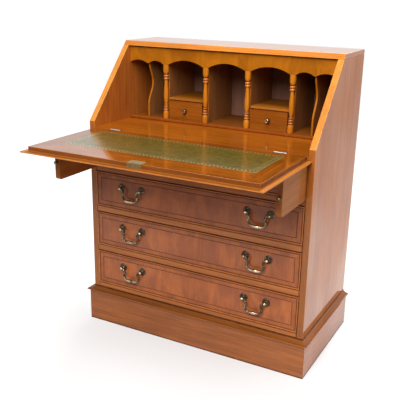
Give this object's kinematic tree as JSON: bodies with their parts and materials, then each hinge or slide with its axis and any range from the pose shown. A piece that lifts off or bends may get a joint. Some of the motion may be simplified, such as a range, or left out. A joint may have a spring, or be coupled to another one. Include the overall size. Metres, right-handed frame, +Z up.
{
  "type": "slant-front writing bureau",
  "caption": "Slant-front writing bureau with a hinged leather-lined fall on lopers, an arched pigeonhole fitment, cockbeaded drawers with swan-neck handles and a moulded plinth.",
  "frame": {"origin": "on the floor under the middle of the bounding box, with the fall open", "axes": "+Z up, -Y towards the sitter, +X to the sitter's right"},
  "size_m": [0.8512, 0.783, 1],
  "materials": {
    "case_wood": "polished",
    "front_wood": "polished",
    "edge_wood": "polished",
    "back_wood": "plain",
    "antique_brass": "antique",
    "green_leather": "polished"
  },
  "bodies": {
    "carcase": {"side_left": "case_wood", "side_right": "case_wood", "top_board": "case_wood", "back_panel": "back_wood", "bottom_board": "front_wood", "dust_board_1": "front_wood", "dust_board_2": "front_wood", "dust_board_3": "front_wood", "partition_left": "front_wood", "partition_right": "front_wood", "writing_bed": "edge_wood", "plinth_front": "case_wood", "plinth_left": "case_wood", "plinth_right": "case_wood", "plinth_back": "case_wood", "fitment_base": "edge_wood", "valance": "edge_wood", "column_1": "edge_wood", "column_2": "edge_wood", "column_3": "edge_wood", "column_4": "edge_wood", "drawer_housing_left": "case_wood", "drawer_housing_right": "case_wood", "serpentine_divider_left": "case_wood", "serpentine_divider_right": "case_wood", "hinge_bed_leaf_left": "antique_brass", "hinge_bed_leaf_right": "antique_brass"},
    "fall": {"fall_panel": "edge_wood", "fall_leather": "green_leather", "fall_lock": "antique_brass", "hinge_fall_leaf_left": "antique_brass", "hinge_fall_leaf_right": "antique_brass"},
    "loper_left": {"loper_left": "front_wood", "loper_knob_left": "antique_brass"},
    "loper_right": {"loper_right": "front_wood", "loper_knob_right": "antique_brass"},
    "drawer_1": {"drawer_1": "front_wood", "handle_mount_1_left": "antique_brass", "handle_mount_1_right": "antique_brass"},
    "drawer_2": {"drawer_2": "front_wood", "handle_mount_2_left": "antique_brass", "handle_mount_2_right": "antique_brass"},
    "drawer_3": {"drawer_3": "front_wood", "handle_mount_3_left": "antique_brass", "handle_mount_3_right": "antique_brass"},
    "drawer_4": {"drawer_4": "front_wood", "handle_mount_4_left": "antique_brass", "handle_mount_4_right": "antique_brass"},
    "small_drawer_left": {"small_drawer_left": "edge_wood", "small_knob_left": "antique_brass"},
    "small_drawer_right": {"small_drawer_right": "edge_wood", "small_knob_right": "antique_brass"},
    "bail_1_left": {"bail_1_left": "antique_brass"},
    "bail_1_right": {"bail_1_right": "antique_brass"},
    "bail_2_left": {"bail_2_left": "antique_brass"},
    "bail_2_right": {"bail_2_right": "antique_brass"},
    "bail_3_left": {"bail_3_left": "antique_brass"},
    "bail_3_right": {"bail_3_right": "antique_brass"},
    "bail_4_left": {"bail_4_left": "antique_brass"},
    "bail_4_right": {"bail_4_right": "antique_brass"}
  },
  "joints": [
    {"name": "fall_hinge", "type": "hinge", "parent": "carcase", "child": "fall", "pos_m": [0, -0.04047, 0.724], "axis": [1, 0, 0], "range_deg": [-131.3, 0]},
    {"name": "loper_left_slide", "type": "slide", "parent": "carcase", "child": "loper_left", "axis": [0, -1, 0], "range_m": [-0.212, 0.008]},
    {"name": "loper_right_slide", "type": "slide", "parent": "carcase", "child": "loper_right", "axis": [0, -1, 0], "range_m": [-0.19, 0.03]},
    {"name": "drawer_1_slide", "type": "slide", "parent": "carcase", "child": "drawer_1", "axis": [0, -1, 0], "range_m": [0, 0.3]},
    {"name": "drawer_2_slide", "type": "slide", "parent": "carcase", "child": "drawer_2", "axis": [0, -1, 0], "range_m": [0, 0.3]},
    {"name": "drawer_3_slide", "type": "slide", "parent": "carcase", "child": "drawer_3", "axis": [0, -1, 0], "range_m": [0, 0.3]},
    {"name": "drawer_4_slide", "type": "slide", "parent": "carcase", "child": "drawer_4", "axis": [0, -1, 0], "range_m": [0, 0.3]},
    {"name": "small_drawer_left_slide", "type": "slide", "parent": "carcase", "child": "small_drawer_left", "axis": [0, -1, 0], "range_m": [0, 0.12]},
    {"name": "small_drawer_right_slide", "type": "slide", "parent": "carcase", "child": "small_drawer_right", "axis": [0, -1, 0], "range_m": [0, 0.12]},
    {"name": "bail_1_left_hinge", "type": "hinge", "parent": "drawer_1", "child": "bail_1_left", "pos_m": [-0.236, -0.05297, 0.6649], "axis": [-1, 0, 0], "range_deg": [0, 90]},
    {"name": "bail_1_right_hinge", "type": "hinge", "parent": "drawer_1", "child": "bail_1_right", "pos_m": [0.236, -0.05297, 0.6649], "axis": [-1, 0, 0], "range_deg": [0, 90]},
    {"name": "bail_2_left_hinge", "type": "hinge", "parent": "drawer_2", "child": "bail_2_left", "pos_m": [-0.236, -0.05297, 0.52515], "axis": [-1, 0, 0], "range_deg": [0, 90]},
    {"name": "bail_2_right_hinge", "type": "hinge", "parent": "drawer_2", "child": "bail_2_right", "pos_m": [0.236, -0.05297, 0.52515], "axis": [-1, 0, 0], "range_deg": [0, 90]},
    {"name": "bail_3_left_hinge", "type": "hinge", "parent": "drawer_3", "child": "bail_3_left", "pos_m": [-0.236, -0.05297, 0.37715], "axis": [-1, 0, 0], "range_deg": [0, 90]},
    {"name": "bail_3_right_hinge", "type": "hinge", "parent": "drawer_3", "child": "bail_3_right", "pos_m": [0.236, -0.05297, 0.37715], "axis": [-1, 0, 0], "range_deg": [0, 90]},
    {"name": "bail_4_left_hinge", "type": "hinge", "parent": "drawer_4", "child": "bail_4_left", "pos_m": [-0.236, -0.05297, 0.22915], "axis": [-1, 0, 0], "range_deg": [0, 90]},
    {"name": "bail_4_right_hinge", "type": "hinge", "parent": "drawer_4", "child": "bail_4_right", "pos_m": [0.236, -0.05297, 0.22915], "axis": [-1, 0, 0], "range_deg": [0, 90]}
  ]
}
